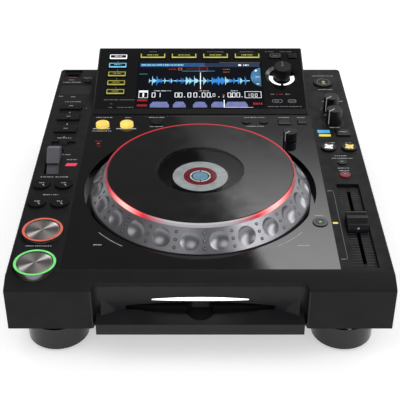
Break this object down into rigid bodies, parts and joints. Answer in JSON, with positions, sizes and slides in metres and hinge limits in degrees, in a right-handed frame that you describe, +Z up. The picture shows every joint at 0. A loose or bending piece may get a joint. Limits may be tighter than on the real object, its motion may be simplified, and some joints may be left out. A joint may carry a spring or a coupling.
{
  "type": "tabletop dj media player",
  "caption": "Tabletop disc and media player with a turning jog dial, sloped display, tempo fader and lit transport buttons.",
  "frame": {"origin": "centre of the footprint, on the surface that the four feet stand on", "axes": "+X to the right of the person using it, +Y to the rear, +Z up"},
  "size_m": [0.32, 0.405, 0.1098],
  "materials": {
    "bezel": "fine satin",
    "board": "solder mask",
    "button": "satin",
    "case": "fine-textured moulded",
    "centre_display": "gloss",
    "cue_key": "brushed cap, lit ring",
    "dial": "silver metallic paint",
    "dial_plate": "gloss",
    "drive": "pressed",
    "fader": "satin",
    "foot": "gloss",
    "gloss_deck": "gloss",
    "key": "soft gloss",
    "knob": "soft touch",
    "lever": "satin",
    "light_guide": "translucent white",
    "loop_key": "lit translucent",
    "metal_tray": "black powder coat",
    "play_key": "brushed cap, lit ring",
    "screen": "glossy cover",
    "window": "smoked"
  },
  "bodies": {
    "root": {"lower_case": "metal_tray", "upper_case": "case", "deck_plate": "gloss_deck", "slot_bezel": "bezel", "slot_light": "light_guide", "feet": "foot", "display_housing": "case", "display_panel": "gloss_deck", "lcd_screen": "screen", "jog_display": "centre_display", "circuit_boards": "board", "disc_drive": "drive"},
    "loop_in_button": {"loop_in_button": "loop_key"},
    "loop_out_button": {"loop_out_button": "loop_key"},
    "reloop_button": {"reloop_button": "button"},
    "call_back_button": {"call_back_button": "button"},
    "call_forward_button": {"call_forward_button": "button"},
    "tempo_reset_button": {"tempo_reset_button": "key"},
    "usb_stop_button": {"usb_stop_button": "button"},
    "track_back_button": {"track_back_button": "key"},
    "track_forward_button": {"track_forward_button": "key"},
    "search_back_button": {"search_back_button": "key"},
    "search_forward_button": {"search_forward_button": "key"},
    "jog_mode_button": {"jog_mode_button": "button"},
    "sync_button": {"sync_button": "button"},
    "master_button": {"master_button": "button"},
    "tempo_range_button": {"tempo_range_button": "button"},
    "master_tempo_button": {"master_tempo_button": "button"},
    "delete_button": {"delete_button": "button"},
    "memory_button": {"memory_button": "button"},
    "hot_cue_button_1": {"hot_cue_button_1": "button"},
    "hot_cue_button_2": {"hot_cue_button_2": "button"},
    "hot_cue_button_3": {"hot_cue_button_3": "button"},
    "record_button": {"record_button": "button"},
    "slip_button": {"slip_button": "button"},
    "cue_button": {"cue_button": "cue_key"},
    "play_button": {"play_button": "play_key"},
    "source_button_1": {"source_button_1": "key"},
    "source_button_2": {"source_button_2": "key"},
    "source_button_3": {"source_button_3": "key"},
    "source_button_4": {"source_button_4": "key"},
    "source_button_5": {"source_button_5": "key"},
    "menu_button_1": {"menu_button_1": "key"},
    "menu_button_2": {"menu_button_2": "key"},
    "menu_button_3": {"menu_button_3": "key"},
    "menu_button_4": {"menu_button_4": "key"},
    "back_button": {"back_button": "key"},
    "tag_button": {"tag_button": "key"},
    "selector_stem": {"selector_stem": "knob"},
    "selector_knob": {"selector_knob": "knob"},
    "jog_dial": {"jog_dial": "dial"},
    "jog_plate": {"jog_plate": "dial_plate", "jog_window": "window"},
    "touch_knob": {"touch_knob": "knob"},
    "release_knob": {"release_knob": "knob"},
    "jog_adjust_knob": {"jog_adjust_knob": "knob"},
    "tempo_fader": {"tempo_fader": "fader"},
    "direction_lever": {"direction_lever": "lever"},
    "card_door": {"card_door": "case"},
    "power_switch": {"power_switch": "key"}
  },
  "joints": [
    {"name": "loop_in_button_press", "type": "slide", "parent": "root", "child": "loop_in_button", "axis": [0, 0, 1], "range_m": [-0.001, 0], "stiffness_N_per_m": 100, "springref_m": 0.002},
    {"name": "loop_out_button_press", "type": "slide", "parent": "root", "child": "loop_out_button", "axis": [0, 0, 1], "range_m": [-0.001, 0], "stiffness_N_per_m": 100, "springref_m": 0.002},
    {"name": "reloop_button_press", "type": "slide", "parent": "root", "child": "reloop_button", "axis": [0, 0, 1], "range_m": [-0.001, 0], "stiffness_N_per_m": 100, "springref_m": 0.002},
    {"name": "call_back_button_press", "type": "slide", "parent": "root", "child": "call_back_button", "axis": [0, 0, 1], "range_m": [-0.001, 0], "stiffness_N_per_m": 100, "springref_m": 0.002},
    {"name": "call_forward_button_press", "type": "slide", "parent": "root", "child": "call_forward_button", "axis": [0, 0, 1], "range_m": [-0.001, 0], "stiffness_N_per_m": 100, "springref_m": 0.002},
    {"name": "tempo_reset_button_press", "type": "slide", "parent": "root", "child": "tempo_reset_button", "axis": [0, 0, 1], "range_m": [-0.0008, 0], "stiffness_N_per_m": 100, "springref_m": 0.002},
    {"name": "usb_stop_button_press", "type": "slide", "parent": "root", "child": "usb_stop_button", "axis": [0, 0, 1], "range_m": [-0.001, 0], "stiffness_N_per_m": 100, "springref_m": 0.002},
    {"name": "track_back_button_press", "type": "slide", "parent": "root", "child": "track_back_button", "axis": [0, 0, 1], "range_m": [-0.001, 0], "stiffness_N_per_m": 100, "springref_m": 0.002},
    {"name": "track_forward_button_press", "type": "slide", "parent": "root", "child": "track_forward_button", "axis": [0, 0, 1], "range_m": [-0.001, 0], "stiffness_N_per_m": 100, "springref_m": 0.002},
    {"name": "search_back_button_press", "type": "slide", "parent": "root", "child": "search_back_button", "axis": [0, 0, 1], "range_m": [-0.001, 0], "stiffness_N_per_m": 100, "springref_m": 0.002},
    {"name": "search_forward_button_press", "type": "slide", "parent": "root", "child": "search_forward_button", "axis": [0, 0, 1], "range_m": [-0.001, 0], "stiffness_N_per_m": 100, "springref_m": 0.002},
    {"name": "jog_mode_button_press", "type": "slide", "parent": "root", "child": "jog_mode_button", "axis": [0, 0, 1], "range_m": [-0.001, 0], "stiffness_N_per_m": 100, "springref_m": 0.002},
    {"name": "sync_button_press", "type": "slide", "parent": "root", "child": "sync_button", "axis": [0, 0, 1], "range_m": [-0.001, 0], "stiffness_N_per_m": 100, "springref_m": 0.002},
    {"name": "master_button_press", "type": "slide", "parent": "root", "child": "master_button", "axis": [0, 0, 1], "range_m": [-0.001, 0], "stiffness_N_per_m": 100, "springref_m": 0.002},
    {"name": "tempo_range_button_press", "type": "slide", "parent": "root", "child": "tempo_range_button", "axis": [0, 0, 1], "range_m": [-0.001, 0], "stiffness_N_per_m": 100, "springref_m": 0.002},
    {"name": "master_tempo_button_press", "type": "slide", "parent": "root", "child": "master_tempo_button", "axis": [0, 0, 1], "range_m": [-0.001, 0], "stiffness_N_per_m": 100, "springref_m": 0.002},
    {"name": "delete_button_press", "type": "slide", "parent": "root", "child": "delete_button", "axis": [0, 0, 1], "range_m": [-0.001, 0], "stiffness_N_per_m": 100, "springref_m": 0.002},
    {"name": "memory_button_press", "type": "slide", "parent": "root", "child": "memory_button", "axis": [0, 0, 1], "range_m": [-0.001, 0], "stiffness_N_per_m": 100, "springref_m": 0.002},
    {"name": "hot_cue_button_1_press", "type": "slide", "parent": "root", "child": "hot_cue_button_1", "axis": [0, 0, 1], "range_m": [-0.001, 0], "stiffness_N_per_m": 100, "springref_m": 0.002},
    {"name": "hot_cue_button_2_press", "type": "slide", "parent": "root", "child": "hot_cue_button_2", "axis": [0, 0, 1], "range_m": [-0.001, 0], "stiffness_N_per_m": 100, "springref_m": 0.002},
    {"name": "hot_cue_button_3_press", "type": "slide", "parent": "root", "child": "hot_cue_button_3", "axis": [0, 0, 1], "range_m": [-0.001, 0], "stiffness_N_per_m": 100, "springref_m": 0.002},
    {"name": "record_button_press", "type": "slide", "parent": "root", "child": "record_button", "axis": [0, 0, 1], "range_m": [-0.0008, 0], "stiffness_N_per_m": 100, "springref_m": 0.002},
    {"name": "slip_button_press", "type": "slide", "parent": "root", "child": "slip_button", "axis": [0, 0, 1], "range_m": [-0.001, 0], "stiffness_N_per_m": 100, "springref_m": 0.002},
    {"name": "cue_button_press", "type": "slide", "parent": "root", "child": "cue_button", "axis": [0, 0, 1], "range_m": [-0.0012, 0], "stiffness_N_per_m": 300, "springref_m": 0.002},
    {"name": "play_button_press", "type": "slide", "parent": "root", "child": "play_button", "axis": [0, 0, 1], "range_m": [-0.0012, 0], "stiffness_N_per_m": 300, "springref_m": 0.002},
    {"name": "source_button_1_press", "type": "slide", "parent": "root", "child": "source_button_1", "axis": [0, -0.2328, 0.9725], "range_m": [-0.0008, 0], "stiffness_N_per_m": 100, "springref_m": 0.002},
    {"name": "source_button_2_press", "type": "slide", "parent": "root", "child": "source_button_2", "axis": [0, -0.2328, 0.9725], "range_m": [-0.0008, 0], "stiffness_N_per_m": 100, "springref_m": 0.002},
    {"name": "source_button_3_press", "type": "slide", "parent": "root", "child": "source_button_3", "axis": [0, -0.2328, 0.9725], "range_m": [-0.0008, 0], "stiffness_N_per_m": 100, "springref_m": 0.002},
    {"name": "source_button_4_press", "type": "slide", "parent": "root", "child": "source_button_4", "axis": [0, -0.2328, 0.9725], "range_m": [-0.0008, 0], "stiffness_N_per_m": 100, "springref_m": 0.002},
    {"name": "source_button_5_press", "type": "slide", "parent": "root", "child": "source_button_5", "axis": [0, -0.2328, 0.9725], "range_m": [-0.0008, 0], "stiffness_N_per_m": 100, "springref_m": 0.002},
    {"name": "menu_button_1_press", "type": "slide", "parent": "root", "child": "menu_button_1", "axis": [0, -0.2328, 0.9725], "range_m": [-0.0008, 0], "stiffness_N_per_m": 100, "springref_m": 0.002},
    {"name": "menu_button_2_press", "type": "slide", "parent": "root", "child": "menu_button_2", "axis": [0, -0.2328, 0.9725], "range_m": [-0.0008, 0], "stiffness_N_per_m": 100, "springref_m": 0.002},
    {"name": "menu_button_3_press", "type": "slide", "parent": "root", "child": "menu_button_3", "axis": [0, -0.2328, 0.9725], "range_m": [-0.0008, 0], "stiffness_N_per_m": 100, "springref_m": 0.002},
    {"name": "menu_button_4_press", "type": "slide", "parent": "root", "child": "menu_button_4", "axis": [0, -0.2328, 0.9725], "range_m": [-0.0008, 0], "stiffness_N_per_m": 100, "springref_m": 0.002},
    {"name": "back_button_press", "type": "slide", "parent": "root", "child": "back_button", "axis": [0, -0.2328, 0.9725], "range_m": [-0.0008, 0], "stiffness_N_per_m": 100, "springref_m": 0.002},
    {"name": "tag_button_press", "type": "slide", "parent": "root", "child": "tag_button", "axis": [0, -0.2328, 0.9725], "range_m": [-0.0008, 0], "stiffness_N_per_m": 100, "springref_m": 0.002},
    {"name": "selector_stem_press", "type": "slide", "parent": "root", "child": "selector_stem", "axis": [0, -0.2328, 0.9725], "range_m": [-0.0012, 0], "stiffness_N_per_m": 200, "springref_m": 0.002},
    {"name": "selector_turn", "type": "hinge", "parent": "selector_stem", "child": "selector_knob", "pos_m": [0.09, 0.15443, 0.09507], "axis": [0, -0.2328, 0.9725], "continuous": true},
    {"name": "jog_turn", "type": "hinge", "parent": "root", "child": "jog_dial", "pos_m": [0, -0.048, 0.085], "axis": [0, 0, 1], "continuous": true},
    {"name": "jog_plate_press", "type": "slide", "parent": "jog_dial", "child": "jog_plate", "axis": [0, 0, 1], "range_m": [-0.0004, 0], "stiffness_N_per_m": 4000, "springref_m": 0.0005},
    {"name": "touch_knob_turn", "type": "hinge", "parent": "root", "child": "touch_knob", "pos_m": [0.139, 0.104, 0.085], "axis": [0, 0, 1], "range_deg": [-150, 150]},
    {"name": "release_knob_turn", "type": "hinge", "parent": "root", "child": "release_knob", "pos_m": [0.139, 0.076, 0.085], "axis": [0, 0, 1], "range_deg": [-150, 150]},
    {"name": "jog_adjust_knob_turn", "type": "hinge", "parent": "root", "child": "jog_adjust_knob", "pos_m": [0.0905, 0.04, 0.085], "axis": [0, 0, 1], "range_deg": [-150, 150]},
    {"name": "tempo_slide", "type": "slide", "parent": "root", "child": "tempo_fader", "axis": [0, 1, 0], "range_m": [-0.05, 0.05]},
    {"name": "direction_tilt", "type": "hinge", "parent": "root", "child": "direction_lever", "pos_m": [-0.143, -0.0025, 0.058], "axis": [1, 0, 0], "range_deg": [0, 40]},
    {"name": "card_door_hinge", "type": "hinge", "parent": "root", "child": "card_door", "pos_m": [-0.1385, 0.1615, 0.0783], "axis": [-1, 0, 0], "range_deg": [0, 90]},
    {"name": "power_rocker", "type": "hinge", "parent": "root", "child": "power_switch", "pos_m": [0.07, 0.192, 0.054], "axis": [1, 0, 0], "range_deg": [0, 14]}
  ]
}
